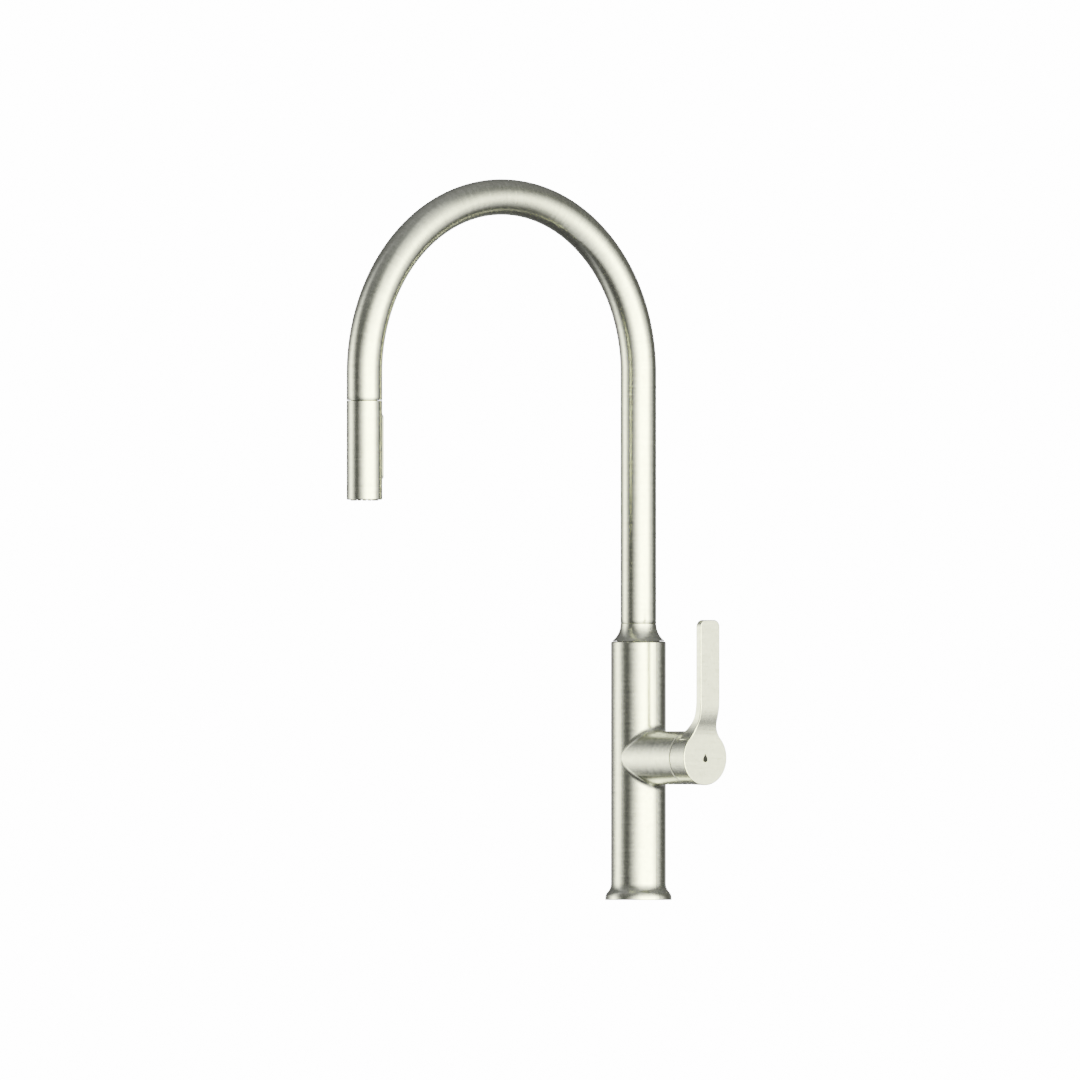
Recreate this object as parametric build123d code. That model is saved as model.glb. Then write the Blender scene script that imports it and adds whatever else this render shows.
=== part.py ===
from build123d import *
from math import acos, asin, cos, degrees, pi, radians, sin, sqrt
import os

# Pull-down kitchen faucet with a side lever.
# Millimetres, +Z up, origin at the centre of the base underside on the deck.
# The spout reaches toward -Y, the lever stands on the +X side.

# ---- body -------------------------------------------------------------
BODY_R = 18.45
BODY_TOP_Z = 172.8
BODY_BORE_R = 16.4
FOOT_R = 22.25
FLARE_TOP_Z = 10.9
FLARE_HOLLOW_R = 7.8
FLARE_ROUND_R = 5.95
FLANGE_Z0 = 137.6
FLANGE_Z1 = 142.0
BEARING_BORE_R = 16.25
GASKET_R0 = 18.3
GASKET_R1 = 20.5
GASKET_H = 1.5

# ---- side valve housing, distances along +X from the body axis ---------
VALVE_Z = 95.1
HOUSING_R = 17.9
HOUSING_END = 54.7
JUNCTION_FILLET = 4.5
SEAT_X = 10.0
CARTRIDGE_R = 12.5
PIVOT_X = 36.0
NUT_R = 14.55
NUT_X0 = 41.6
NUT_X1 = 46.8
CAP_BORE_R = 16.2
CAP_BORE_X = 44.7

# ---- cartridge ----------------------------------------------------------
GUIDE_R = 11.6
SHELL_BORE_R = 11.7
DISC_R = 9.2
DISC_OFFSET = 1.3
INLET_UP = 4.0
INLET_SIDE = 5.6
OUTLET_DOWN = 4.4
INLET_HOLE_R = 2.0
BALL_X = 29.0
BALL_R = 3.0
STEM_R = 4.0
PIN_R = 1.2

# ---- handle -------------------------------------------------------------
HUB_X0 = 55.9
HUB_X1 = 71.4
HUB_REAR_R = 17.9
HUB_FRONT_R = 18.4
HUB_CAVITY_R = 26.2
BOSS_R = 6.2
BOSS_BACK_R = 20.4
LEVER_STEP = 5.2
LEVER_T = 4.9
LEVER_HALF_W = 8.25
LEVER_NECK_HALF_W = 7.8
LEVER_NECK_FILLET = 21.3
LEVER_TOP = 92.2
LEVER_CORNER_R = 4.7
LEVER_EDGE_R = 0.6
STEP_LOW = 11.5
STEP_HIGH = 36.0

# ---- waterway core in the body ------------------------------------------
CORE_R = 16.3
CORE_Z0 = 62.0
CORE_Z1 = 112.0
PORT_R = 3.5
HOT_DEPTH = 11.5
COLD_DEPTH = 11.0
OUTLET_DEPTH = 10.5
INLET_X = 8.3
INLET_Y = 8.7
OUTLET_X = 12.0
HOSE_X = -1.5
HOSE_CHANNEL_R = 6.2
STUD_X = -12.0
STUD_HOLE_R = 3.4

# ---- swivel spout -------------------------------------------------------
TUBE_R = 12.0
TUBE_BORE_R = 10.9
ARCH_R = 117.5
ARCH_Z = 352.5
TUBE_Z0 = 184.8
COLLAR_Z0 = 173.1
COLLAR_FOOT_R = 17.85
SHANK_R = 14.1
SHANK_Z0 = 133.5
RING_BORE_R = 14.15
COLLAR_BORE_R = 9.2
REACH = 2 * ARCH_R

# ---- hose ---------------------------------------------------------------
HOSE_R = 5.6
HOSE_BORE_R = 4.0
HOSE_SPLIT_Z = 150.0
PULL_TOP_Z = 367.0
PULL_LOW_Z = 348.2

# ---- spray head ---------------------------------------------------------
HEAD_R = 12.0
HEAD_BORE_R = 10.7
HEAD_TOP_Z = 333.85
HEAD_LOW_Z = 267.5
SEAM_GAP = 0.3
NECK_R = 8.95
NECK_TOP_Z = 346.0
SWIVEL_R = 6.05
ROCKER_Z0 = 281.5
ROCKER_Z1 = 324.7
ROCKER_HALF_W = 5.2
ROCKER_PROUD = 1.5
ROCKER_PIVOT_Y = 8.2
ROCKER_PIVOT_Z = 303.0
SPOOL_Z = 290.0
SPOOL_R = 2.5

OUT = "parts"


# ---- helpers ------------------------------------------------------------
def turned(*edges):
    """Solid turned about Z from a closed outline drawn as (radius, height)."""
    return Rot(90, 0, 0) * revolve(make_face(edges), axis=Axis.Y)


def lathe(*points):
    """Solid turned about Z from a polygon of (radius, height) points."""
    return turned(*Polyline(*points, close=True).edges())


def rod(r, z0, z1, x=0.0, y=0.0):
    """Upright cylinder between two heights."""
    return Pos(x, y, z0) * Cylinder(r, z1 - z0, align=(Align.CENTER, Align.CENTER, Align.MIN))


def ring(r_out, r_in, z0, z1):
    """Upright ring between two heights."""
    return rod(r_out, z0, z1) - rod(r_in, z0 - 1, z1 + 1)


def slab(x0, x1, y0, y1, z0, z1):
    """Box between two corners."""
    return Pos((x0 + x1) / 2, (y0 + y1) / 2, (z0 + z1) / 2) * Box(x1 - x0, y1 - y0, z1 - z0)


def at_valve(shape):
    """Place a part drawn along Z onto the valve axis: its Z becomes +X, its -X becomes up."""
    return Pos(0, 0, VALVE_Z) * Rot(0, 90, 0) * shape


def at_head(shape):
    """Place a part drawn on the Z axis onto the spray head axis."""
    return Pos(0, -REACH, 0) * shape


def along_y(shape, y, z):
    """Place a part drawn along Z so that it runs along +Y through (0, y, z)."""
    return Pos(0, y, z) * Rot(-90, 0, 0) * shape


def along_x(shape, y, z):
    """Place a part drawn along Z so that it runs along +X through (0, y, z)."""
    return Pos(0, y, z) * Rot(0, 90, 0) * shape


def around(count, r, make, phase=0.0):
    """Copies of a small part on a circle about Z."""
    parts = []
    for i in range(count):
        a = 2 * pi * i / count + phase
        parts.append(Pos(r * cos(a), r * sin(a), 0) * make())
    return parts


# ---- body ---------------------------------------------------------------
def body_outline():
    """Half outline of the body tube with its flared foot and rounded top edge."""
    turn = acos(1 - (FOOT_R - BODY_R) / (FLARE_HOLLOW_R + FLARE_ROUND_R))
    low_z = FLARE_TOP_Z - (FLARE_HOLLOW_R + FLARE_ROUND_R) * sin(turn)
    hollow_x = BODY_R + FLARE_HOLLOW_R
    round_x = FOOT_R - FLARE_ROUND_R

    def hollow(t):
        return (hollow_x - FLARE_HOLLOW_R * cos(t), FLARE_TOP_Z - FLARE_HOLLOW_R * sin(t))

    def bulge(t):
        return (round_x + FLARE_ROUND_R * cos(t), low_z + FLARE_ROUND_R * sin(t))

    top = 0.9
    k = top * (1 - sqrt(0.5))
    return (
        Line((0, 0), (FOOT_R - 0.4, 0)),
        Line((FOOT_R - 0.4, 0), (FOOT_R, 0.4)),
        Line((FOOT_R, 0.4), (FOOT_R, low_z)),
        ThreePointArc(bulge(0), bulge(turn / 2), bulge(turn)),
        ThreePointArc(hollow(turn), hollow(turn / 2), hollow(0)),
        Line(hollow(0), (BODY_R, BODY_TOP_Z - top)),
        ThreePointArc((BODY_R, BODY_TOP_Z - top), (BODY_R - k, BODY_TOP_Z - k),
                      (BODY_R - top, BODY_TOP_Z)),
        Line((BODY_R - top, BODY_TOP_Z), (0, BODY_TOP_Z)),
        Line((0, BODY_TOP_Z), (0, 0)),
    )


def body_shell():
    """Body tube and side valve housing in one casting, bored for what sits inside."""
    body = turned(*body_outline())
    housing = at_valve(lathe((0, 0), (HOUSING_R, 0), (HOUSING_R, HOUSING_END - 0.4),
                             (HOUSING_R - 0.4, HOUSING_END), (0, HOUSING_END)))
    shell = body + housing
    joint = [e for e in shell.edges() if e.geom_type not in (GeomType.CIRCLE, GeomType.LINE)]
    shell = shell.fillet(JUNCTION_FILLET, joint)
    shell -= rod(BODY_BORE_R, -1, FLANGE_Z0)
    shell -= rod(SHANK_R + 0.4, FLANGE_Z0 - 1, FLANGE_Z1 + 1)
    shell -= rod(BEARING_BORE_R, FLANGE_Z1, BODY_TOP_Z + 1)
    shell -= at_valve(rod(CARTRIDGE_R + 0.3, 6, 39))
    shell -= at_valve(rod(NUT_R + 0.1, 38, CAP_BORE_X + 1))
    shell -= at_valve(rod(CAP_BORE_R, CAP_BORE_X, HOUSING_END + 1))
    shell -= ring(GASKET_R1 + 0.1, GASKET_R0 - 0.1, -1, GASKET_H)
    return shell


def base_gasket():
    """Sealing ring in the groove under the foot, flush with the deck."""
    return ring(GASKET_R1, GASKET_R0, 0, GASKET_H)


def base_insert():
    """Ring in the foot with a solid side that takes the mounting stud."""
    insert = rod(BODY_BORE_R - 0.05, 0.6, 12.6)
    insert -= rod(15.7, 0, 13.6) & slab(-8.0, 20, -20, 20, 0, 13.6)
    insert -= rod(STUD_HOLE_R, 0, 13.6, STUD_X)
    return insert


def waterway_core():
    """Brass block with the cartridge seat, two inlet ports, the outlet port and the hose channel."""
    core = rod(CORE_R, CORE_Z0, CORE_Z1).edges().filter_by(GeomType.CIRCLE)
    block = chamfer(core, 0.6)
    block -= rod(HOSE_CHANNEL_R, CORE_Z0 - 1, CORE_Z1 + 1, HOSE_X)
    block -= at_valve(rod(CARTRIDGE_R + 0.25, SEAT_X, 30))
    for side in (1, -1):
        depth = HOT_DEPTH if side > 0 else COLD_DEPTH
        block -= rod(PORT_R, CORE_Z0 - 1, CORE_Z0 + depth, INLET_X, side * INLET_Y)
        block -= rod(2.0, CORE_Z0, VALVE_Z + INLET_UP, 7.3, side * 6.6)
        block -= at_valve(rod(INLET_HOLE_R, 6.5, SEAT_X + 1, -INLET_UP, side * INLET_SIDE))
    block -= rod(PORT_R, CORE_Z0 - 1, CORE_Z0 + OUTLET_DEPTH, OUTLET_X)
    block -= rod(1.9, CORE_Z0 + 6, VALVE_Z - OUTLET_DOWN, 7.4)
    block -= at_valve(rod(INLET_HOLE_R, 6.8, SEAT_X + 1, OUTLET_DOWN, 0))
    return block


def ports(r, z0, z1):
    """The three passages of the cartridge, drawn along Z."""
    return [rod(r, z0, z1, -INLET_UP, INLET_SIDE), rod(r, z0, z1, -INLET_UP, -INLET_SIDE),
            rod(r, z0, z1, OUTLET_DOWN, 0)]


# ---- cartridge ----------------------------------------------------------
def cartridge_base():
    """Plastic base of the cartridge with a pocket for a seal around each passage."""
    base = rod(CARTRIDGE_R - 0.1, SEAT_X + 0.35, 14)
    for cut in ports(INLET_HOLE_R, 9, 15) + ports(3.35, 9, 11.2):
        base -= cut
    return at_valve(base)


def cartridge_seals():
    """Three rubber seals between the cartridge base and its seat."""
    seals = []
    for outer, inner in zip(ports(3.3, SEAT_X, 11.2), ports(2.1, SEAT_X - 1, 12.2)):
        seals.append(at_valve(outer - inner))
    return Compound(seals)


def cartridge_housing():
    """Plastic cartridge body that holds the discs and the lever guide."""
    return at_valve(lathe((SHELL_BORE_R, 14), (CARTRIDGE_R, 14), (CARTRIDGE_R, NUT_X0), (10.8, NUT_X0),
                          (10.8, 43.6), (9.0, 43.6), (9.0, 40.3), (SHELL_BORE_R, 40.3)))


def fixed_ceramic_disc():
    """Ceramic disc that stays still on the cartridge base."""
    disc = rod(SHELL_BORE_R - 0.1, 14.05, 17)
    for cut in ports(INLET_HOLE_R, 13, 18):
        disc -= cut
    return at_valve(disc)


def moving_ceramic_disc():
    """Ceramic disc that slides and turns on the fixed one to meter hot and cold."""
    disc = rod(DISC_R, 17.03, 20, DISC_OFFSET)
    disc -= rod(5.6, 16, 18.7, DISC_OFFSET + 0.9)
    return at_valve(disc)


def disc_carrier():
    """Plastic carrier on the moving disc with the socket for the stem's ball."""
    carrier = rod(DISC_R, 20, 23, DISC_OFFSET) + rod(4.9, 22, 31.5)
    carrier -= rod(BALL_R + 0.1, 25, 32.5)
    return at_valve(carrier)


def lever_guide():
    """Turning guide in the cartridge with a slot for the stem and a bore for the pivot pin."""
    guide = rod(GUIDE_R, 23.3, 40)
    guide -= slab(-8.0, 8.0, -5.05, 5.05, 22, 32)
    guide -= slab(-6.8, 6.8, -3.65, 3.65, 31, 41)
    guide -= along_y(rod(PIN_R + 0.05, -13, 13), 0, PIVOT_X)
    return at_valve(guide)


def pivot_pin():
    """Steel pin the stem tilts on."""
    return at_valve(along_y(rod(PIN_R, -11, 11), 0, PIVOT_X))


def stem():
    """Metal stem from the ball in the disc carrier out to the socket in the hub."""
    bar = rod(STEM_R, 33, 69)
    bar -= slab(-9, 9, 3.5, 9, 30, 41) + slab(-9, 9, -9, -3.5, 30, 41)
    bar -= slab(3.2, 9, -9, 9, 57, 70)
    bar += rod(1.8, 29, 33.5) + Pos(0, 0, BALL_X) * Sphere(BALL_R)
    bar -= along_y(rod(PIN_R + 0.05, -9, 9), 0, PIVOT_X)
    return at_valve(bar)


def cartridge_nut():
    """Threaded ring that holds the cartridge on its seat, slotted for a spanner."""
    nut = lathe((10.95, NUT_X0), (NUT_R, NUT_X0), (NUT_R, NUT_X1 - 0.5), (NUT_R - 0.5, NUT_X1),
                (10.95, NUT_X1))
    nut -= slab(-20, 20, -1.5, 1.5, NUT_X1 - 1.6, 60) + slab(-1.5, 1.5, -20, 20, NUT_X1 - 1.6, 60)
    return at_valve(nut)


def limit_ring():
    """Notched ring on the cartridge that sets the hottest position."""
    body = ring(10.8, 8.8, 43.6, 45.4)
    for notch in around(12, 10.9, lambda: rod(0.7, 43, 46)):
        body -= notch
    return at_valve(body)


def dome_cap():
    """Domed trim ring screwed into the housing over the nut, with a wall that closes the gap to the hub."""
    def on_ball(ball_r, r):
        return (r, PIVOT_X + sqrt(ball_r ** 2 - r ** 2))

    rim, out, inn = HUB_CAVITY_R - 0.3, 19.8, 18.9
    edge = CAP_BORE_R - 0.1
    wall = edge - 0.6
    end = on_ball(rim, edge)
    return at_valve(turned(
        Line((15.2, 44.8), (edge, 44.8)),
        Line((edge, 44.8), end),
        Line(end, (wall, end[1])),
        Line((wall, end[1]), on_ball(out, wall)),
        ThreePointArc(on_ball(out, wall), on_ball(out, 14), on_ball(out, 12)),
        Line(on_ball(out, 12), on_ball(inn, 12)),
        ThreePointArc(on_ball(inn, 12), on_ball(inn, 14), on_ball(inn, 15.2)),
        Line(on_ball(inn, 15.2), (15.2, 44.8)),
    ))


# ---- handle -------------------------------------------------------------
def lever_side():
    """Side outline of the lever as (X, height above the valve axis), for extruding in Y."""
    rise = STEP_HIGH - STEP_LOW
    turn = 2 * asin(LEVER_STEP / sqrt(LEVER_STEP ** 2 + rise ** 2))
    bend = rise / (2 * sin(turn))
    mid = (HUB_X1 + LEVER_STEP / 2, (STEP_LOW + STEP_HIGH) / 2)

    def lower(t):
        return (HUB_X1 + bend * (1 - cos(t)), STEP_LOW + bend * sin(t))

    def upper(t):
        return (HUB_X1 + LEVER_STEP - bend * (1 - cos(t)), STEP_HIGH - bend * sin(t))

    front = HUB_X1 + LEVER_STEP
    back = front - LEVER_T
    return make_face([
        Line((HUB_X1, 5), (HUB_X1, STEP_LOW)),
        ThreePointArc(lower(0), lower(turn / 2), mid),
        ThreePointArc(mid, upper(turn / 2), upper(0)),
        Line((front, STEP_HIGH), (front, LEVER_TOP)),
        Line((front, LEVER_TOP), (back, LEVER_TOP)),
        Line((back, LEVER_TOP), (back, 42)),
        Spline((back, 42), (70.3, 30.7), (68.3, 26.0), (64.6, 21.0), (61.0, 17.2),
               tangents=((0, -1), (-1, -0.9))),
        Line((61.0, 17.2), (61.0, 5)),
        Line((61.0, 5), (HUB_X1, 5)),
    ])


def lever_front():
    """Front outline of the lever as (Y, height above the valve axis), for extruding in X."""
    w, f, r = LEVER_NECK_HALF_W, LEVER_NECK_FILLET, HUB_FRONT_R
    cy = w + f
    cz = sqrt((r + f) ** 2 - cy ** 2)
    foot = (cy * r / (r + f), cz * r / (r + f))
    a0, a1 = pi, pi + asin((cz - foot[1]) / f)
    middle = (cy + f * cos((a0 + a1) / 2), cz + f * sin((a0 + a1) / 2))
    top, c, hw = LEVER_TOP, LEVER_CORNER_R, LEVER_HALF_W
    k = c * (1 - sqrt(0.5))
    half = [
        ThreePointArc(foot, middle, (w, cz)),
        Line((w, cz), (hw, cz + 13)),
        Line((hw, cz + 13), (hw, top - c)),
        ThreePointArc((hw, top - c), (hw - k, top - k), (hw - c, top)),
    ]
    other = [e.mirror(Plane.YZ) for e in half]
    joins = [Line((hw - c, top), (c - hw, top)), Line(foot, (foot[0], 5)),
             Line((foot[0], 5), (-foot[0], 5)), Line((-foot[0], 5), (-foot[0], foot[1]))]
    return make_face(half + other + joins)


def crosses_thickness(edge):
    """Whether an edge is one of the straight ones through the lever's thickness."""
    return edge.geom_type == GeomType.LINE and abs(edge.center().X - HUB_X1 - LEVER_STEP + LEVER_T / 2) < 0.4


def lever_blade():
    """Stepped lever cut from its side outline and its front outline."""
    side = Pos(0, 0, VALVE_Z) * Rot(90, 0, 0) * extrude(lever_side(), amount=20, both=True)
    front = Pos(60, 0, VALVE_Z) * Rot(0, 0, 90) * Rot(90, 0, 0) * extrude(lever_front(), amount=20)
    blade = side & front
    low = VALVE_Z + STEP_LOW
    rims = [e for e in blade.edges() if e.center().Z > low and e.center().X > 62]
    rims = [e for e in rims if abs(e.center().Y) > 3 and not (e.length < 6 and crosses_thickness(e))]
    return blade.fillet(LEVER_EDGE_R, rims)


def handle():
    """Lever and hub in one piece, hollow behind so that it clears the housing as it tilts."""
    hub = lathe((0, HUB_X0), (HUB_REAR_R, HUB_X0), (HUB_FRONT_R, HUB_X1 - 0.5),
                (HUB_FRONT_R - 0.15, HUB_X1 - 0.15), (HUB_FRONT_R - 0.5, HUB_X1), (0, HUB_X1))
    grip = at_valve(hub) + lever_blade()
    hollow = Pos(0, 0, PIVOT_X) * Sphere(HUB_CAVITY_R)
    hollow -= rod(BOSS_R, PIVOT_X, 70) - Pos(0, 0, PIVOT_X) * Sphere(BOSS_BACK_R)
    grip -= at_valve(hollow)
    grip -= at_valve(rod(STEM_R + 0.05, 50, 69.3))
    grip -= at_valve(along_x(rod(2.5, 3, 25), 0, 66.6))
    return grip


def handle_set_screw():
    """Grub screw under the hub that clamps the stem's flat."""
    screw = rod(2.45, 3.2, 9.2) - extrude(Pos(0, 0, 6.2) * RegularPolygon(1.4, 6), amount=4)
    return at_valve(along_x(screw, 0, 66.6))


# ---- swivel spout -------------------------------------------------------
def arch_tube(r, start_angle):
    """Round bar bent along the arch, from an angle above the outlet side to the body side."""
    span = 180 - start_angle
    disc = Pos(0, 0, ARCH_Z) * Circle(r)
    return revolve(disc, axis=Axis((0, -ARCH_R, ARCH_Z), (1, 0, 0)), revolution_arc=span)


def spout_tube():
    """High-arc tube, from the collar up, over the arch and down to the spray head."""
    def bar(r, low, high):
        return rod(r, low, ARCH_Z) + arch_tube(r, 0) + at_head(rod(r, high, ARCH_Z))

    low, high = TUBE_Z0, HEAD_TOP_Z + SEAM_GAP
    c = 0.25
    tube = bar(TUBE_R, low + c, high + c)
    tube += lathe((0, low), (TUBE_R - c, low), (TUBE_R, low + c), (0, low + c))
    tube += at_head(lathe((0, high), (TUBE_R - c, high), (TUBE_R, high + c), (0, high + c)))
    return tube - bar(TUBE_BORE_R, low - 1, high - 1)


def spout_collar():
    """Turned collar: spigot in the tube above, flared skirt, bearing shank in the body below."""
    bend = ((TUBE_Z0 - COLLAR_Z0) ** 2 + (COLLAR_FOOT_R - TUBE_R) ** 2) / (2 * (COLLAR_FOOT_R - TUBE_R))
    cx, cz = TUBE_R + bend, TUBE_Z0

    def flare(z):
        return (cx - sqrt(bend ** 2 - (cz - z) ** 2), z)

    b = COLLAR_BORE_R
    top = TUBE_Z0 - 0.2
    return turned(
        ThreePointArc(flare(COLLAR_Z0), flare(COLLAR_Z0 + 6), flare(top)),
        Line(flare(top), (TUBE_R - 0.3, TUBE_Z0)),
        *Polyline((TUBE_R - 0.3, TUBE_Z0), (TUBE_BORE_R - 0.05, TUBE_Z0), (TUBE_BORE_R - 0.05, 194.5),
                  (TUBE_BORE_R - 0.6, 195), (b, 195), (b, SHANK_Z0), (SHANK_R - 0.8, SHANK_Z0),
                  (SHANK_R, SHANK_Z0 + 0.8), (SHANK_R, 135.4), (12.8, 135.4), (12.8, 137.3),
                  (SHANK_R, 137.3), (SHANK_R, 154.5), (13.1, 154.5), (13.1, 157.7),
                  (SHANK_R, 157.7), (SHANK_R, COLLAR_Z0), flare(COLLAR_Z0)).edges(),
    )


def glide_rings():
    """Two plastic bearing rings in the body that the shank turns in."""
    return Compound([ring(BEARING_BORE_R - 0.05, RING_BORE_R, z, z + 5.5) for z in (FLANGE_Z1, 165.0)])


def thrust_washer():
    """Thin dark washer the collar rests on."""
    return ring(17.1, 14.3, BODY_TOP_Z, COLLAR_Z0 - 0.05)


def friction_o_ring():
    """O-ring on the shank that keeps the spout where it is left."""
    return Pos(0, 0, 156.1) * Torus(14.65, 1.45)


def retaining_clip():
    """Open spring clip in the shank's lower groove that holds the spout down."""
    return ring(15.7, 12.85, 135.5, 137.2) - slab(-20, 0, -5, 5, 134, 139)


def dock_sleeve():
    """Plastic sleeve in the outlet end of the tube that the spray head's neck docks in."""
    z0 = HEAD_TOP_Z + SEAM_GAP + 1
    return at_head(lathe((NECK_R + 0.9, z0), (TUBE_BORE_R - 0.05, z0), (TUBE_BORE_R - 0.05, 351),
                         (NECK_R + 0.1, 351), (NECK_R + 0.1, z0 + 1.6)))


# ---- pull-down hose -----------------------------------------------------
def hose_arch():
    """Spray hose inside the spout, over the arch and down into the collar."""
    start = degrees(asin((PULL_TOP_Z + 1 - ARCH_Z) / ARCH_R))
    low = HOSE_SPLIT_Z + 0.3
    outer = rod(HOSE_R, low, ARCH_Z) + arch_tube(HOSE_R, start)
    inner = rod(HOSE_BORE_R, low - 1, ARCH_Z) + arch_tube(HOSE_BORE_R, start - 0.01)
    return outer - inner


def hose_lower():
    """Spray hose inside the body, past the waterway core to the coupling at the base."""
    path = Spline((0, 0, HOSE_SPLIT_Z), (HOSE_X / 2, 0, 134), (HOSE_X, 0, 118),
                  tangents=((0, 0, -1), (0, 0, -1)))
    top = Plane((0, 0, HOSE_SPLIT_Z), z_dir=(0, 0, -1))
    outer = rod(HOSE_R, 6, 118, HOSE_X) + sweep(top * Circle(HOSE_R), path)
    inner = rod(HOSE_BORE_R, 5, 118, HOSE_X) + sweep(top * Circle(HOSE_BORE_R), path)
    return outer - inner


def hose_coupling():
    """Brass coupling on the lower end of the hose, inside the foot."""
    return Pos(HOSE_X, 0, 0) * lathe((3.0, 2), (5.2, 2), (5.6, 2.4), (5.6, 4), (6.3, 4), (6.3, 18),
                                     (HOSE_R, 18), (HOSE_R, 6), (HOSE_BORE_R, 6), (HOSE_BORE_R, 16),
                                     (3.0, 16))


def hose_pull_run():
    """Straight run of the hose above the spray head, which lengthens as the head is pulled."""
    return at_head(ring(HOSE_R, HOSE_BORE_R, PULL_LOW_Z, PULL_TOP_Z))


def hose_ferrule():
    """Crimped steel ferrule over the hose end."""
    z = PULL_LOW_Z
    return at_head(lathe((HOSE_R, z), (6.5, z), (6.5, z + 3), (6.3, z + 3.4), (6.3, z + 6.6),
                         (6.5, z + 7), (6.5, z + 10), (HOSE_R, z + 10)))


def hose_connector():
    """Swivelling hose end that turns in the neck of the spray head."""
    return at_head(lathe((2.4, 336.4), (SWIVEL_R - 0.5, 336.4), (SWIVEL_R, 336.9), (SWIVEL_R, 346.3),
                         (7.6, 346.3), (7.6, PULL_LOW_Z), (HOSE_BORE_R - 0.05, PULL_LOW_Z),
                         (HOSE_BORE_R - 0.05, 357), (2.4, 357)))


# ---- spray head ---------------------------------------------------------
def rounded_plate(half_w, z0, z1, corner, y0, y1):
    """Upright plate with rounded corners between two depths in Y."""
    outline = RectangleRounded(2 * half_w, z1 - z0, corner)
    plate = extrude(outline, amount=y1 - y0)
    return Pos(0, y0, (z0 + z1) / 2) * Rot(-90, 0, 0) * plate


def head_shell():
    """Outer shell of the spray head with the window for the rocker button."""
    c = 0.25
    z0, z1 = HEAD_LOW_Z, HEAD_TOP_Z
    shell = lathe((HEAD_BORE_R, z0), (HEAD_R - 0.8, z0), (HEAD_R - 0.25, z0 + 0.25), (HEAD_R, z0 + 0.8),
                  (HEAD_R, z1 - c), (HEAD_R - c, z1), (HEAD_BORE_R, z1))
    window = rounded_plate(ROCKER_HALF_W + 0.35, ROCKER_Z0 - 0.6, ROCKER_Z1 + 0.6, 3.0, 4, 14)
    return at_head(shell - window)


def head_neck():
    """Plug in the top of the head: buffer lip, docking neck and the bore the hose end turns in."""
    lip = HEAD_TOP_Z + 0.2
    plug = lathe((4.7, 321), (6.6, 321), (6.6, 327), (HEAD_BORE_R - 0.05, 327),
                 (HEAD_BORE_R - 0.05, HEAD_TOP_Z), (HEAD_R - 0.3, HEAD_TOP_Z), (HEAD_R - 0.3, lip),
                 (NECK_R, lip), (NECK_R, NECK_TOP_Z - 1.2),
                 (NECK_R - 1.0, NECK_TOP_Z), (SWIVEL_R + 0.05, NECK_TOP_Z), (SWIVEL_R + 0.05, 334.8),
                 (4.7, 334.8))
    return at_head(plug)


def inlet_washer():
    """Filter washer between the hose end and the head's inlet."""
    disc = rod(5.9, 334.8, 336.0)
    for hole in around(6, 2.6, lambda: rod(0.8, 334, 337)) + [rod(0.8, 334, 337)]:
        disc -= hole
    return at_head(disc)


def check_valve():
    """One-way valve in the inlet: a plastic seat with a closed rubber bill."""
    seat = lathe((2.6, 333.6), (4.65, 333.6), (4.65, 322.4), (3.9, 322.4), (3.9, 331.0), (2.6, 331.8))
    bill = lathe((2.5, 331.6), (3.7, 330.8), (3.5, 329.8), (0.5, 324.0), (0.0, 324.0), (0.0, 325.0))
    return at_head(Compound([seat, bill]))


def head_waterway():
    """Plastic inner body with the diverter bore, the rocker's pivot post and two outlets."""
    block = rod(HEAD_BORE_R - 0.1, 273.6, 320)
    block -= slab(-12, 12, 4.5, 12, 278, 321)
    block -= slab(-4.1, 4.1, 3.9, 12, 286.8, 294.0)
    block -= rod(5.1, 273, 279)
    block -= rod(2.2, 290, 321, 0, -2.5)
    block -= rod(2.0, 278, 290, 0, 0.8)
    block -= rod(1.4, 273, 290, 0, -7.0)
    block -= along_y(rod(SPOOL_R + 0.05, -7.4, 6), 0, SPOOL_Z)
    post = slab(-2.4, 2.4, 4.0, ROCKER_PIVOT_Y, ROCKER_PIVOT_Z - 1.9, ROCKER_PIVOT_Z + 1.9)
    post += along_x(rod(1.9, -2.4, 2.4), ROCKER_PIVOT_Y, ROCKER_PIVOT_Z)
    post -= along_x(rod(1.05, -4, 4), ROCKER_PIVOT_Y, ROCKER_PIVOT_Z)
    return at_head(block + post)


def inlet_seal():
    """Rubber washer between the neck plug and the inner body."""
    return at_head(ring(6.0, 4.9, 320, 321))


def rocker_pin():
    """Pin through the rocker's ears and the pivot post."""
    return at_head(along_x(rod(1.0, -4.5, 4.5), ROCKER_PIVOT_Y, ROCKER_PIVOT_Z))


def rocker_button():
    """Rocker that switches stream and spray, with pivot ears and a fork for the spool."""
    plate = rounded_plate(ROCKER_HALF_W, ROCKER_Z0, ROCKER_Z1, 2.7, 10.4, 16)
    crown = rod(HEAD_R + ROCKER_PROUD, ROCKER_Z0 - 1, ROCKER_Z1 + 1)
    button = plate & crown
    for side in (1, -1):
        inner, outer = sorted((side * 2.7, side * 4.6))
        ear = slab(inner, outer, ROCKER_PIVOT_Y, 11, ROCKER_PIVOT_Z - 1.9, ROCKER_PIVOT_Z + 1.9)
        ear += along_x(rod(1.9, inner, outer), ROCKER_PIVOT_Y, ROCKER_PIVOT_Z)
        button += ear - along_x(rod(1.05, -6, 6), ROCKER_PIVOT_Y, ROCKER_PIVOT_Z)
        near, far = sorted((side * 2.7, side * 3.7))
        button += slab(near, far, 5.1, 11, SPOOL_Z - 1.5, SPOOL_Z + 1.5)
    fork = slab(-3.7, 3.7, 5.1, 5.9, SPOOL_Z - 1.5, SPOOL_Z + 2.5)
    button += fork - slab(-1.4, 1.4, 4, 7, SPOOL_Z - 3, SPOOL_Z + 1.5)
    return at_head(button)


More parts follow.
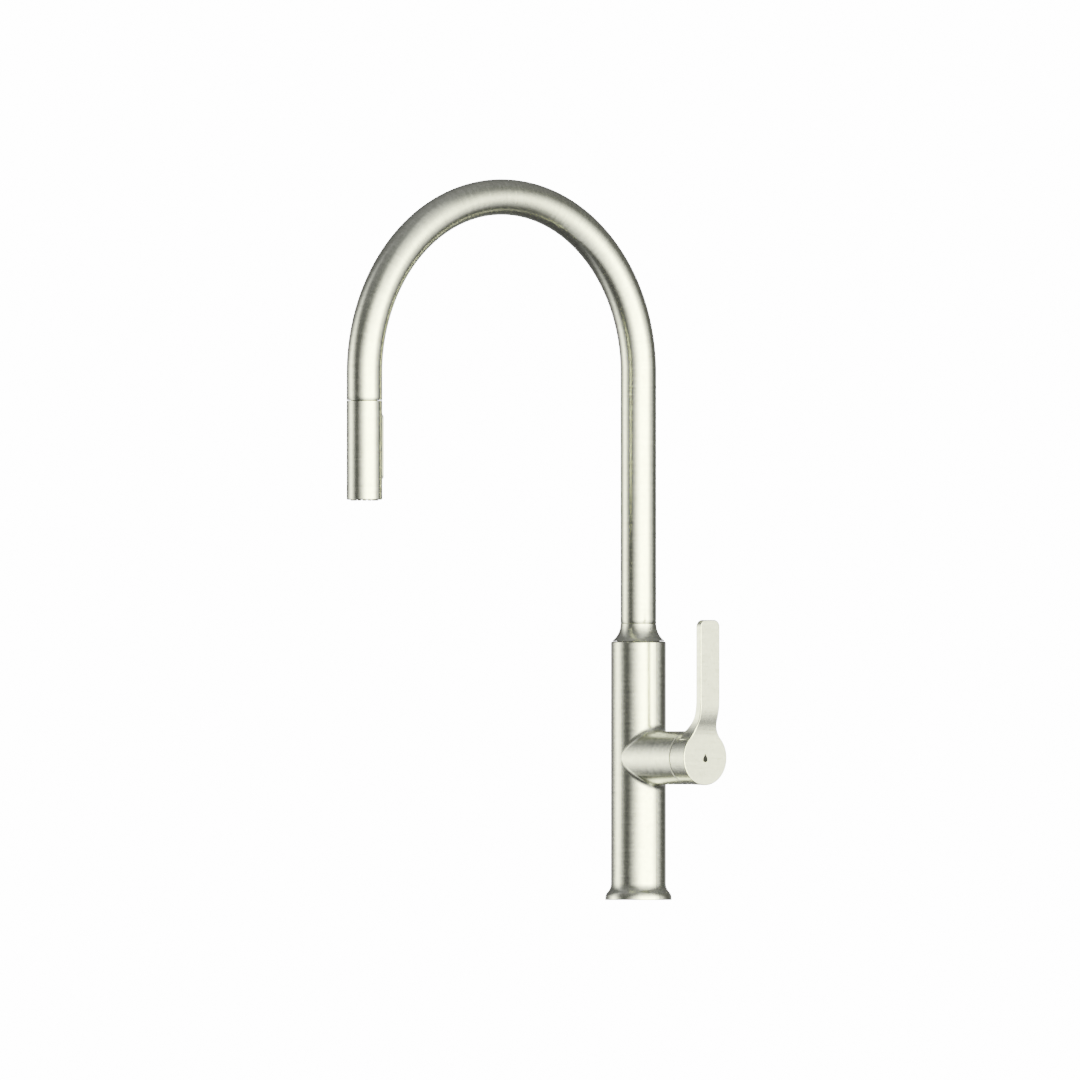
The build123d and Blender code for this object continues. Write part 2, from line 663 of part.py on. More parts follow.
def diverter_spool():
    """Spool pushed and pulled by the rocker, with two seal grooves and a groove for the fork."""
    spool = lathe((0, -6.0), (2.5, -6.0), (2.5, -5.4), (1.35, -5.4), (1.35, -4.1), (2.5, -4.1),
                  (2.5, -3.5), (1.5, -3.5), (1.5, 1.4), (2.5, 1.4), (2.5, 2.0), (1.35, 2.0),
                  (1.35, 3.3), (2.5, 3.3), (2.5, 3.9), (2.0, 3.9), (2.0, 4.9), (1.2, 4.9),
                  (1.2, 6.1), (2.3, 6.1), (2.3, 7.6), (0, 7.6))
    return at_head(along_y(spool, 0, SPOOL_Z))


def spool_o_rings():
    """Two small O-rings on the spool."""
    rings = [Pos(0, 0, z) * Torus(1.93, 0.57) for z in (-4.75, 2.65)]
    return Compound([at_head(along_y(r, 0, SPOOL_Z)) for r in rings])


def nozzle_spots(make):
    """Two circles of nozzles around the aerator."""
    return around(18, 8.8, make) + around(12, 6.9, make, radians(15))


def spray_face():
    """Plate closing the bottom of the head, drilled for the nozzles and the aerator."""
    plate = rod(HEAD_BORE_R - 0.05, HEAD_LOW_Z + 0.3, 272.6) - rod(5.1, 266, 274)
    for hole in nozzle_spots(lambda: rod(0.75, 266, 274)):
        plate -= hole
    return at_head(plate)


def rubber_nozzles():
    """Rubber web with a ring of soft nozzles that stand just proud of the spray face."""
    web = ring(9.9, 5.5, 272.6, 273.5)
    for nub in nozzle_spots(lambda: Pos(0, 0, 266.9) * Cone(0.5, 0.7, 6.2,
                            align=(Align.CENTER, Align.CENTER, Align.MIN))):
        web += nub
    for hole in nozzle_spots(lambda: rod(0.28, 266, 274)):
        web -= hole
    return at_head(web)


def aerator_insert():
    """Aerator in the middle of the spray face, a fine grid over an open cup."""
    cup = rod(4.95, 268.3, 278.5) - rod(4.2, 270.3, 280)
    holes = around(6, 1.4, lambda: rod(0.5, 267, 271)) + around(12, 2.9, lambda: rod(0.5, 267, 271))
    for hole in holes + [rod(0.5, 267, 271)]:
        cup -= hole
    return at_head(cup)


PARTS = {
    "body_shell": body_shell,
    "base_gasket": base_gasket,
    "base_insert": base_insert,
    "waterway_core": waterway_core,
    "cartridge_base": cartridge_base,
    "cartridge_seals": cartridge_seals,
    "cartridge_housing": cartridge_housing,
    "fixed_ceramic_disc": fixed_ceramic_disc,
    "moving_ceramic_disc": moving_ceramic_disc,
    "disc_carrier": disc_carrier,
    "lever_guide": lever_guide,
    "pivot_pin": pivot_pin,
    "stem": stem,
    "cartridge_nut": cartridge_nut,
    "limit_ring": limit_ring,
    "dome_cap": dome_cap,
    "handle": handle,
    "handle_set_screw": handle_set_screw,
    "spout_tube": spout_tube,
    "spout_collar": spout_collar,
    "glide_rings": glide_rings,
    "thrust_washer": thrust_washer,
    "friction_o_ring": friction_o_ring,
    "retaining_clip": retaining_clip,
    "dock_sleeve": dock_sleeve,
    "hose_arch": hose_arch,
    "hose_lower": hose_lower,
    "hose_coupling": hose_coupling,
    "hose_pull_run": hose_pull_run,
    "hose_ferrule": hose_ferrule,
    "hose_connector": hose_connector,
    "head_shell": head_shell,
    "head_neck": head_neck,
    "inlet_washer": inlet_washer,
    "check_valve": check_valve,
    "head_waterway": head_waterway,
    "inlet_seal": inlet_seal,
    "rocker_pin": rocker_pin,
    "rocker_button": rocker_button,
    "diverter_spool": diverter_spool,
    "spool_o_rings": spool_o_rings,
    "spray_face": spray_face,
    "rubber_nozzles": rubber_nozzles,
    "aerator_insert": aerator_insert,
}

os.makedirs(OUT, exist_ok=True)
for name, make in PARTS.items():
    export_step(make(), "parts/" + name + ".step")
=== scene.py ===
import math

import bmesh
import bpy
from bpy.props import FloatProperty, FloatVectorProperty, IntProperty, PointerProperty
from mathutils import Matrix, Vector


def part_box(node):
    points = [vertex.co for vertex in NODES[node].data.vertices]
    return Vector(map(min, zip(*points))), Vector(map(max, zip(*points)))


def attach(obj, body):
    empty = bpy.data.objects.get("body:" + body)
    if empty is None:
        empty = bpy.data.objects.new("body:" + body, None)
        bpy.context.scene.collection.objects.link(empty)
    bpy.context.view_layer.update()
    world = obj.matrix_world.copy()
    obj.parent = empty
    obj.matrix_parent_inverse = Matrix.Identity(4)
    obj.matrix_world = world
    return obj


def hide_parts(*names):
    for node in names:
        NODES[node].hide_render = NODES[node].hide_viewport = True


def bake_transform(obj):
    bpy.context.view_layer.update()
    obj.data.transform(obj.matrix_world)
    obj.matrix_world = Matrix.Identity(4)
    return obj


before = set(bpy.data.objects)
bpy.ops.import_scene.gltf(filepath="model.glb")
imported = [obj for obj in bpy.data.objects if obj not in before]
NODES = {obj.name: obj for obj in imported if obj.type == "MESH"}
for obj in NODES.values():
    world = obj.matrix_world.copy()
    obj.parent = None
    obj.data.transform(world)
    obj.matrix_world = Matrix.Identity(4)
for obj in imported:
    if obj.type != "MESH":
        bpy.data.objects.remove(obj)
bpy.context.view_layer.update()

bl_info = {
    "name": "Pull-down kitchen faucet",
    "version": (1, 0, 0),
    "blender": (4, 5, 0),
    "location": "View3D > Sidebar > Faucet",
    "description": "Finishes a pull-down kitchen faucet: gooseneck, lever, spray head, hose and studio",
    "category": "Object",
}

HEAD_Y = sum(c.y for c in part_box("head_shell")) / 2
VALVE_Z = sum(c.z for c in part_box("dome_cap")) / 2
# Gap between the gooseneck's end and the shell of the head.
HEAD_SEAM = 0.0003
MATH = "ShaderNodeMath"


def linear(hex_colour):
    """An sRGB hex colour such as 'C8C5B8' as linear RGB."""
    out = []
    for i in (0, 2, 4):
        c = int(hex_colour[i:i + 2], 16) / 255
        out.append(c / 12.92 if c <= 0.04045 else ((c + 0.055) / 1.055) ** 2.4)
    return tuple(out)


def add(tree, kind, links=None, stops=None, **settings):
    """Add a node, set its properties and its ramp's stops, then link or fill its inputs.

    A node given as an input is linked by its first output.
    """
    node = tree.nodes.new(kind)
    for key, value in settings.items():
        setattr(node, key, value)
    for socket, value in (links or {}).items():
        if isinstance(value, bpy.types.Node):
            value = value.outputs[0]
        if isinstance(value, bpy.types.NodeSocket):
            tree.links.new(value, node.inputs[socket])
        else:
            node.inputs[socket].default_value = value
    while stops and len(node.color_ramp.elements) < len(stops):
        node.color_ramp.elements.new(0.5)
    for i, (place, value) in enumerate(stops or ()):
        node.color_ramp.elements[i].position = place
        node.color_ramp.elements[i].color = (value, value, value, 1)
    return node


# ---- sizes and colours ----------------------------------------------------
class FAUCET_PG_sizes(bpy.types.PropertyGroup):
    tube_radius: FloatProperty(
        name="Gooseneck radius", description="Outer radius of the gooseneck tube",
        default=0.012, min=0.008, max=0.02, unit="LENGTH", precision=4)
    tube_wall: FloatProperty(
        name="Gooseneck wall", description="Wall thickness of the gooseneck tube",
        default=0.0011, min=0.0005, max=0.003, unit="LENGTH", precision=4)
    arch_radius: FloatProperty(
        name="Arch radius", description="Radius of the arch at the tube's centre line",
        default=0.1175, min=0.05, max=0.2, unit="LENGTH", precision=4)
    arch_height: FloatProperty(
        name="Arch spring height", description="Height where the arch begins",
        default=0.3525, min=0.2, max=0.5, unit="LENGTH", precision=4)
    hose_radius: FloatProperty(
        name="Hose radius", description="Outer radius of the braided hose",
        default=0.0056, min=0.004, max=0.008, unit="LENGTH", precision=4)
    drop_height: FloatProperty(
        name="Drop height", description="Height of the water drop on the lever's round face",
        default=0.006, min=0.003, max=0.012, unit="LENGTH", precision=4)
    outer_nozzles: IntProperty(
        name="Outer nozzles", description="Nozzles in the outer circle", default=18, min=8, max=30)
    inner_nozzles: IntProperty(
        name="Inner nozzles", description="Nozzles in the inner circle", default=12, min=4, max=24)


class FAUCET_PG_colours(bpy.types.PropertyGroup):
    nickel: FloatVectorProperty(
        name="Brushed nickel", description="Warm grey of the brushed nickel plating",
        subtype="COLOR", default=linear("E4E7DB"), min=0, max=1)
    # Near-black: the drop's own colour, and painted shade where it fills the gap behind the hub and the seam
    # over the head.
    trim: FloatVectorProperty(
        name="Inner trim", description="Black of the trim dome behind the hub",
        subtype="COLOR", default=linear("1E1F1F"), min=0, max=1)
    silicone: FloatVectorProperty(
        name="Nozzle silicone", description="Dark grey of the soft nozzles",
        subtype="COLOR", default=linear("4A4B4A"), min=0, max=1)
    housing: FloatVectorProperty(
        name="Dark acetal", description="Dark grey of the moulded inner parts",
        subtype="COLOR", default=linear("3A3C3E"), min=0, max=1)
    braid: FloatVectorProperty(
        name="Nylon braid", description="Charcoal of the hose's nylon braid",
        subtype="COLOR", default=linear("26282A"), min=0, max=1)
    floor: FloatVectorProperty(
        name="Floor", description="Pale paper of the studio floor",
        subtype="COLOR", default=linear("E4E8F2"), min=0, max=1)


def sizes():
    return bpy.context.scene.faucet_sizes


def colours():
    return bpy.context.scene.faucet_colours


# ---- materials --------------------------------------------------------------
# The lines of a fine belt are 0.1 mm apart, too fine to show, so these are drawn 1.3 mm apart.
LINES_PER_METRE = 760.0
# Each line fades after about 19 mm.
FADES_PER_METRE = 52.0
# The plating turns lighter and darker in patches about 2.4 mm across.
PATCHES_PER_METRE = 420.0
# Nearly all of a noise texture's values lie between these two.
NOISE_LOW, NOISE_HIGH = 0.3, 0.7
# The valve housing's own lines take over from the body's between these two places on X.
HOUSING_BEGINS, HOUSING_LINES = 0.0180, 0.0225


def new_material(name):
    """An empty node material and its tree."""
    mat = bpy.data.materials.new(name)
    mat.use_nodes = True
    mat.node_tree.nodes.clear()
    return mat, mat.node_tree


def streak_vector(tree, direction):
    """Coordinates for grinding lines: quick across the lines, slow along them."""
    place = add(tree, "ShaderNodeTexCoord").outputs["Object"]
    quick, slow = LINES_PER_METRE, FADES_PER_METRE
    if direction == "along_path":
        x = add(tree, "ShaderNodeSeparateXYZ", {0: place}).outputs["X"]
        run = add(tree, "ShaderNodeAttribute", attribute_name="along").outputs["Fac"]
        return add(tree, "ShaderNodeCombineXYZ", {
            "X": add(tree, MATH, {0: x, 1: slow}, operation="MULTIPLY"),
            "Y": add(tree, MATH, {0: run, 1: slow}, operation="MULTIPLY"),
            "Z": add(tree, MATH, {0: run, 1: quick}, operation="MULTIPLY")}).outputs[0]
    upright = add(tree, "ShaderNodeVectorMath", {0: place, 1: (slow, slow, quick)}, operation="MULTIPLY")
    if direction == "up":
        return upright.outputs[0]
    x = add(tree, "ShaderNodeSeparateXYZ", {0: place}).outputs["X"]
    lying = add(tree, "ShaderNodeVectorMath", {0: place, 1: (quick, slow, slow)}, operation="MULTIPLY")
    share = add(tree, "ShaderNodeMapRange",
                {"Value": x, "From Min": HOUSING_BEGINS, "From Max": HOUSING_LINES},
                interpolation_type="SMOOTHSTEP")
    return add(tree, "ShaderNodeMix", {"Factor": share, 4: upright, 5: lying}, data_type="VECTOR").outputs[1]


def brushed_nickel(name, direction="up"):
    """Brushed nickel plating on brass: ground with a fine belt round the axis, then plated.

    It keeps a soft gloss across the lines and a warm, slightly green-grey white. The lines follow each
    other "up" the Z axis, "along_path" of the gooseneck, or "up_and_side" on the body and its housing.
    """
    mat, tree = new_material(name)
    nickel = Vector(colours().nickel)
    place = add(tree, "ShaderNodeTexCoord").outputs["Object"]
    lines = add(tree, "ShaderNodeTexNoise", {"Vector": streak_vector(tree, direction), "Scale": 1.0,
                                             "Detail": 3.0, "Roughness": 0.6})
    patches = add(tree, "ShaderNodeTexNoise", {"Vector": place, "Scale": PATCHES_PER_METRE, "Detail": 2.0})
    both = add(tree, MATH, {0: lines, 1: patches}, operation="ADD")
    tone = add(tree, "ShaderNodeMapRange", {"Value": both, "From Min": 0.7, "From Max": 1.3})
    shade = add(tree, "ShaderNodeMix", {"Factor": tone, 6: (*(nickel * 0.80), 1), 7: (*(nickel * 1.09), 1)},
                data_type="RGBA")
    rough = add(tree, "ShaderNodeMapRange", {"Value": lines, "From Min": NOISE_LOW, "From Max": NOISE_HIGH,
                                             "To Min": 0.235, "To Max": 0.255})
    bump = add(tree, "ShaderNodeBump", {"Strength": 0.15, "Distance": 0.00014, "Height": lines})
    shader = add(tree, "ShaderNodeBsdfPrincipled", {
        "Base Color": shade.outputs[2], "Metallic": 1.0, "Roughness": rough, "Normal": bump})
    add(tree, "ShaderNodeOutputMaterial", {"Surface": shader})
    return mat


def plain_metal(name, colour, smoothest, roughest, grain):
    """Turned, cast or stamped metal with faint tool marks about grain millimetres apart."""
    mat, tree = new_material(name)
    place = add(tree, "ShaderNodeTexCoord").outputs["Object"]
    marks = add(tree, "ShaderNodeTexNoise", {"Vector": place, "Scale": 1000 / grain, "Detail": 3.0})
    rough = add(tree, "ShaderNodeMapRange", {"Value": marks, "From Min": NOISE_LOW, "From Max": NOISE_HIGH,
                                             "To Min": smoothest, "To Max": roughest})
    bump = add(tree, "ShaderNodeBump", {"Strength": 0.08, "Distance": 0.0002, "Height": marks})
    shader = add(tree, "ShaderNodeBsdfPrincipled", {
        "Base Color": (*colour, 1), "Metallic": 1.0, "Roughness": rough, "Normal": bump})
    add(tree, "ShaderNodeOutputMaterial", {"Surface": shader})
    return mat


def moulded(name, colour, rough, grain, depth, ior=1.5, gloss=0.5):
    """Plastic, rubber, ceramic or paper with an even skin.

    The skin's bumps are grain millimetres across and depth metres deep.
    """
    mat, tree = new_material(name)
    colour = Vector(colour)
    place = add(tree, "ShaderNodeTexCoord").outputs["Object"]
    skin = add(tree, "ShaderNodeTexNoise", {"Vector": place, "Scale": 1000 / grain, "Detail": 2.0})
    shade = add(tree, "ShaderNodeMix", {"Factor": skin, 6: (*(colour * 0.88), 1), 7: (*(colour * 1.08), 1)},
                data_type="RGBA")
    bump = add(tree, "ShaderNodeBump", {"Strength": 0.25, "Distance": depth, "Height": skin})
    shader = add(tree, "ShaderNodeBsdfPrincipled", {
        "Base Color": shade.outputs[2], "Roughness": rough, "IOR": ior, "Specular IOR Level": gloss,
        "Normal": bump})
    add(tree, "ShaderNodeOutputMaterial", {"Surface": shader})
    return mat


# Yarns run both ways round the hose at 45 degrees, each about 1 mm wide.
YARNS_ROUND = 12
YARN_PITCH = 0.0029


def nylon_braid():
    """Braided nylon sleeve: flat yarns that cross and give a soft charcoal check, with painted shade in the
    hollows between them.

    The angle round the hose comes from the UV map and the height from the object.
    """
    mat, tree = new_material("nylon_braid_charcoal")
    braid = Vector(colours().braid)
    turn = add(tree, "ShaderNodeSeparateXYZ", {0: add(tree, "ShaderNodeUVMap")}).outputs["X"]
    place = add(tree, "ShaderNodeTexCoord").outputs["Object"]
    height = add(tree, "ShaderNodeSeparateXYZ", {0: place}).outputs["Z"]
    across = add(tree, MATH, {0: turn, 1: 2 * math.pi * YARNS_ROUND}, operation="MULTIPLY")
    up = add(tree, MATH, {0: height, 1: 2 * math.pi / YARN_PITCH}, operation="MULTIPLY")
    left = add(tree, MATH, {0: across, 1: up}, operation="ADD")
    right = add(tree, MATH, {0: across, 1: up}, operation="SUBTRACT")
    left_yarn = add(tree, MATH, {0: left}, operation="SINE")
    right_yarn = add(tree, MATH, {0: right}, operation="SINE")
    relief = add(tree, MATH, {0: left_yarn, 1: right_yarn}, operation="MAXIMUM")
    # Painted shade and light: the colour follows the yarns' relief, dark in the hollows between them and
    # light on their crowns.
    tone = add(tree, "ShaderNodeMapRange", {"Value": relief, "From Min": -0.4, "From Max": 1.0})
    shade = add(tree, "ShaderNodeMix", {"Factor": tone, 6: (*(braid * 0.35), 1), 7: (*(braid * 1.5), 1)},
                data_type="RGBA")
    bump = add(tree, "ShaderNodeBump", {"Strength": 0.6, "Distance": 0.0003, "Height": relief})
    shader = add(tree, "ShaderNodeBsdfPrincipled", {
        "Base Color": shade.outputs[2], "Roughness": 0.55, "Sheen Weight": 0.1, "Normal": bump})
    add(tree, "ShaderNodeOutputMaterial", {"Surface": shader})
    return mat


def dress(node, mat):
    """Give a CAD node its finish."""
    slots = NODES[node].data.materials
    slots.clear()
    slots.append(mat)


# ---- mesh helpers -------------------------------------------------------------
def finished(name, mesh, mat, body, slot_name, *stands_for):
    """Put a mesh into the scene as a smooth piece that stands for CAD nodes and rides on a body.

    A piece with no body is left without a parent.
    """
    obj = bpy.data.objects.new(name, mesh)
    bpy.context.scene.collection.objects.link(obj)
    mesh.materials.clear()
    mesh.materials.append(mat)
    for poly in mesh.polygons:
        poly.use_smooth = True
    if body:
        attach(obj, body)
    if stands_for:
        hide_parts(*stands_for)
    return obj


def turned_mesh(name, profile, segments):
    """Ring turned about Z from a closed outline of (radius, height) points."""
    bm = bmesh.new()
    rings = []
    for r, z in profile:
        angles = [2 * math.pi * i / segments for i in range(segments)]
        rings.append([bm.verts.new((r * math.cos(a), r * math.sin(a), z)) for a in angles])
    for low, high in zip(rings, rings[1:] + rings[:1]):
        for i in range(segments):
            j = (i + 1) % segments
            bm.faces.new((low[i], low[j], high[j], high[i]))
    bmesh.ops.recalc_face_normals(bm, faces=bm.faces)
    mesh = bpy.data.meshes.new(name)
    bm.to_mesh(mesh)
    bm.free()
    return mesh


def new_tree(name, inputs):
    """A Geometry Nodes tree with named inputs, its input node and its output node."""
    tree = bpy.data.node_groups.new(name, "GeometryNodeTree")
    tree.interface.new_socket(name="Geometry", in_out="OUTPUT", socket_type="NodeSocketGeometry")
    for label, kind, value in inputs:
        socket = tree.interface.new_socket(name=label, in_out="INPUT", socket_type="NodeSocket" + kind)
        if value is not None:
            socket.default_value = value
    return tree, add(tree, "NodeGroupInput"), add(tree, "NodeGroupOutput")


def grown(tree, values):
    """Run a Geometry Nodes tree with these inputs and hand back the plain mesh."""
    host = bpy.data.objects.new("growing", bpy.data.meshes.new("growing"))
    bpy.context.scene.collection.objects.link(host)
    grower = host.modifiers.new("grow", "NODES")
    grower.node_group = tree
    for item in tree.interface.items_tree:
        if item.in_out == "INPUT" and item.name in values:
            grower[item.identifier] = values[item.name]
    bpy.context.view_layer.update()
    shown = host.evaluated_get(bpy.context.evaluated_depsgraph_get())
    mesh = bpy.data.meshes.new_from_object(shown)
    host.modifiers.clear()
    bpy.data.objects.remove(host)
    return mesh


# ---- gooseneck ------------------------------------------------------------------
def gooseneck_tree():
    """Tree that bends a line of points up, round the arch and down, and sweeps the tube along it.

    Both ends of the tube are drawn in by the size of a small broken edge.
    """
    tree, given, out = new_tree("gooseneck_tube", [
        ("Radius", "Float", 0.012), ("Arch Radius", "Float", 0.1175), ("Arch Height", "Float", 0.3525),
        ("Low End", "Float", 0.1848), ("Outlet End", "Float", 0.33415), ("Edge", "Float", 0.00025),
        ("Rings", "Int", 210), ("Around", "Int", 96), ("Finish", "Material", None)])
    g = given.outputs
    rise = add(tree, MATH, {0: g["Arch Height"], 1: g["Low End"]}, operation="SUBTRACT")
    bend = add(tree, MATH, {0: g["Arch Radius"], 1: math.pi}, operation="MULTIPLY")
    drop = add(tree, MATH, {0: g["Arch Height"], 1: g["Outlet End"]}, operation="SUBTRACT")
    bend_end = add(tree, MATH, {0: rise, 1: bend}, operation="ADD")
    whole = add(tree, MATH, {0: bend_end, 1: drop}, operation="ADD")
    index = add(tree, "GeometryNodeInputIndex")
    last_but_one = add(tree, MATH, {0: g["Rings"], 1: 2.0}, operation="SUBTRACT")
    inner = add(tree, MATH, {0: whole, 1: g["Edge"]}, operation="SUBTRACT")
    run = add(tree, "ShaderNodeMapRange", {"Value": index, "From Min": 1.0, "From Max": last_but_one,
                                           "To Min": g["Edge"], "To Max": inner}, clamp=False)
    run = add(tree, "ShaderNodeClamp", {"Value": run, "Max": whole})
    past = add(tree, MATH, {0: run, 1: rise}, operation="SUBTRACT")
    bent = add(tree, "ShaderNodeClamp", {"Value": past, "Max": bend})
    angle = add(tree, MATH, {0: bent, 1: g["Arch Radius"]}, operation="DIVIDE")
    cosine = add(tree, MATH, {0: angle}, operation="COSINE")
    back = add(tree, MATH, {0: cosine, 1: 1.0}, operation="SUBTRACT")
    y = add(tree, MATH, {0: back, 1: g["Arch Radius"]}, operation="MULTIPLY")
    sine = add(tree, MATH, {0: angle}, operation="SINE")
    arch = add(tree, MATH, {0: sine, 1: g["Arch Radius"], 2: g["Arch Height"]}, operation="MULTIPLY_ADD")
    beyond = add(tree, MATH, {0: past, 1: bent}, operation="SUBTRACT")
    straight = add(tree, MATH, {0: beyond}, operation="ABSOLUTE")
    z = add(tree, MATH, {0: arch, 1: straight}, operation="SUBTRACT")
    line = add(tree, "GeometryNodeCurvePrimitiveLine", {"End": (0.0, 0.0, 1.0)})
    line = add(tree, "GeometryNodeResampleCurve", {"Curve": line, "Count": g["Rings"]})
    place = add(tree, "ShaderNodeCombineXYZ", {"Y": y, "Z": z})
    path = add(tree, "GeometryNodeSetPosition", {"Geometry": line, "Position": place})
    kept = add(tree, "GeometryNodeStoreNamedAttribute", {"Geometry": path, "Name": "along", "Value": run},
               data_type="FLOAT", domain="POINT")
    left = add(tree, MATH, {0: whole, 1: run}, operation="SUBTRACT")
    near = add(tree, MATH, {0: left, 1: run}, operation="MINIMUM")
    cut = add(tree, MATH, {0: g["Edge"], 1: near}, operation="SUBTRACT")
    trim = add(tree, MATH, {0: cut, 1: 0.0}, operation="MAXIMUM")
    girth = add(tree, MATH, {0: g["Radius"], 1: trim}, operation="SUBTRACT")
    sized = add(tree, "GeometryNodeSetCurveRadius", {"Curve": kept, "Radius": girth})
    ring = add(tree, "GeometryNodeCurvePrimitiveCircle", {"Resolution": g["Around"], "Radius": 1.0})
    tube = add(tree, "GeometryNodeCurveToMesh", {
        "Curve": sized, "Profile Curve": ring, "Scale": add(tree, "GeometryNodeInputRadius")})
    smooth = add(tree, "GeometryNodeSetShadeSmooth", {"Geometry": tube, "Shade Smooth": True})
    real = add(tree, "GeometryNodeRealizeInstances", {"Geometry": smooth})
    done = add(tree, "GeometryNodeSetMaterial", {"Geometry": real, "Material": g["Finish"]})
    tree.links.new(done.outputs[0], out.inputs[0])
    return tree


class FAUCET_OT_gooseneck(bpy.types.Operator):
    """Sweep the gooseneck tube from the collar to the spray head"""
    bl_idname = "faucet.gooseneck"
    bl_label = "Gooseneck"

    def execute(self, context):
        s = sizes()
        finish = brushed_nickel("brushed_nickel_gooseneck", "along_path")
        mesh = grown(gooseneck_tree(), {
            "Radius": s.tube_radius, "Arch Radius": s.arch_radius, "Arch Height": s.arch_height,
            "Low End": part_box("spout_tube")[0].z, "Outlet End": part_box("head_shell")[1].z + HEAD_SEAM,
            "Finish": finish})
        tube = finished("gooseneck", mesh, finish, "spout", "brushed_nickel", "spout_tube")
        wall = tube.modifiers.new("wall", "SOLIDIFY")
        wall.thickness = s.tube_wall
        wall.offset = -1.0
        dress("spout_collar", brushed_nickel("brushed_nickel_collar"))
        return {"FINISHED"}


class FAUCET_OT_body(bpy.types.Operator):
    """Finish the cast body with its valve housing and foot"""
    bl_idname = "faucet.body"
    bl_label = "Body"

    def execute(self, context):
        dress("body_shell", brushed_nickel("brushed_nickel_body", "up_and_side"))
        # Near-black, nearly matt acetal as painted shade: the gap behind the hub reads as a dark line.
        dress("dome_cap", moulded("acetal_painted_shade_dome", colours().trim, 0.7, 0.67, 0.00003, gloss=0.06))
        return {"FINISHED"}


# ---- lever ----------------------------------------------------------------------
# The drop's half width as a share of its height, and how sharply it comes to its point.
DROP_FULLNESS, DROP_TAPER = 0.46, 1.6
DROP_POINTS = 40
# It stands just proud of the face, and its back is sunk into the metal.
DROP_PROUD, DROP_SUNK = 0.00004, 0.0003


def drop_outline(height):
    """Outline of a plain water drop, point up, centred on its bounding box."""
    points = []
    for i in range(DROP_POINTS):
        t = 2 * math.pi * i / DROP_POINTS
        y = DROP_FULLNESS * height * math.sin(t) * math.sin(t / 2) ** DROP_TAPER
        points.append((y, height / 2 * math.cos(t)))
    return points


class FAUCET_OT_lever(bpy.types.Operator):
    """Finish the lever and set a plain water drop into its round face"""
    bl_idname = "faucet.lever"
    bl_label = "Lever"

    def execute(self, context):
        dress("handle", brushed_nickel("brushed_nickel_lever"))
        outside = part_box("handle")[1].x + 0.01
        bm = bmesh.new()
        front, back = [], []
        for y, z in drop_outline(sizes().drop_height):
            struck, face, _, _ = NODES["handle"].ray_cast((outside, y, VALVE_Z + z), (-1, 0, 0))
            if not struck:
                raise RuntimeError("the drop misses the hub's round face")
            front.append(bm.verts.new((face.x + DROP_PROUD, y, VALVE_Z + z)))
            back.append(bm.verts.new((face.x - DROP_SUNK, y, VALVE_Z + z)))
        bm.faces.new(front)
        bm.faces.new(back[::-1])
        for i in range(DROP_POINTS):
            j = (i + 1) % DROP_POINTS
            bm.faces.new((front[i], back[i], back[j], front[j]))
        bmesh.ops.recalc_face_normals(bm, faces=bm.faces)
        mesh = bpy.data.meshes.new("handle_drop")
        bm.to_mesh(mesh)
        bm.free()
        # Stoved enamel: a small black mark with hardly any gloss.
        enamel = moulded("dark_enamel_drop", colours().trim, 0.5, 0.67, 0.00002, gloss=0.1)
        mark = finished("handle_drop", mesh, enamel, "handle", "satin_trim")
        for poly in mark.data.polygons:
            poly.use_smooth = False
        return {"FINISHED"}


# ---- spray head -------------------------------------------------------------------
def nozzle_tree():
    """Tree that sets copies of one soft nozzle on two circles round the aerator."""
    tree, given, out = new_tree("nozzle_circles", [
        ("Nozzle", "Object", None), ("Outer Count", "Int", 18), ("Inner Count", "Int", 12),
        ("Outer Circle", "Float", 0.0088), ("Inner Circle", "Float", 0.0069),
        ("Turn", "Float", math.pi / 12), ("Axis Y", "Float", -0.235), ("Height", "Float", 0.267),
        ("Finish", "Material", None)])
    g = given.outputs
    nozzle = add(tree, "GeometryNodeObjectInfo", {"Object": g["Nozzle"]}).outputs["Geometry"]
    spot = add(tree, "ShaderNodeCombineXYZ", {"Y": g["Axis Y"], "Z": g["Height"]})
    turn = add(tree, "ShaderNodeCombineXYZ", {"Z": g["Turn"]})
    join = add(tree, "GeometryNodeJoinGeometry")
    for circle, spin in (("Outer", (0.0, 0.0, 0.0)), ("Inner", turn)):
        ring = add(tree, "GeometryNodeMeshCircle", {"Vertices": g[circle + " Count"],
                                                    "Radius": g[circle + " Circle"]})
        placed = add(tree, "GeometryNodeTransform",
                     {"Geometry": ring, "Translation": spot, "Rotation": spin})
        copies = add(tree, "GeometryNodeInstanceOnPoints", {"Points": placed, "Instance": nozzle})
        tree.links.new(copies.outputs[0], join.inputs[0])
    real = add(tree, "GeometryNodeRealizeInstances", {"Geometry": join})
    done = add(tree, "GeometryNodeSetMaterial", {"Geometry": real, "Material": g["Finish"]})
    tree.links.new(done.outputs[0], out.inputs[0])
    return tree


class FAUCET_OT_spray_head(bpy.types.Operator):
    """Finish the shell, the rocker button, the neck and the spray face of the head"""
    bl_idname = "faucet.spray_head"
    bl_label = "Spray head"

    def execute(self, context):
        dress("head_shell", brushed_nickel("brushed_nickel_head"))
        dress("rocker_button", brushed_nickel("brushed_nickel_button"))
        # Moulded acetal from a spark-eroded tool: a dark grey with a soft sheen.
        dark = moulded("acetal_dark_grey", colours().housing, 0.42, 0.4, 0.00004)
        for node in ("spray_face", "aerator_insert", "inlet_washer", "check_valve", "dock_sleeve"):
            dress(node, dark)
        # Near-black, nearly matt acetal as painted shade: the seam over the head reads as a dark line.
        dress("head_neck", moulded("acetal_painted_shade_neck", colours().trim, 0.75, 0.67, 0.00003, gloss=0.06))
        return {"FINISHED"}


NOZZLE_BORE, NOZZLE_TIP, NOZZLE_ROOT = 0.0003, 0.00052, 0.0007
NOZZLE_BREAK = 0.0002
WEB_THICKNESS = 0.0009
WEB_INNER, WEB_OUTER = 0.0055, 0.0099


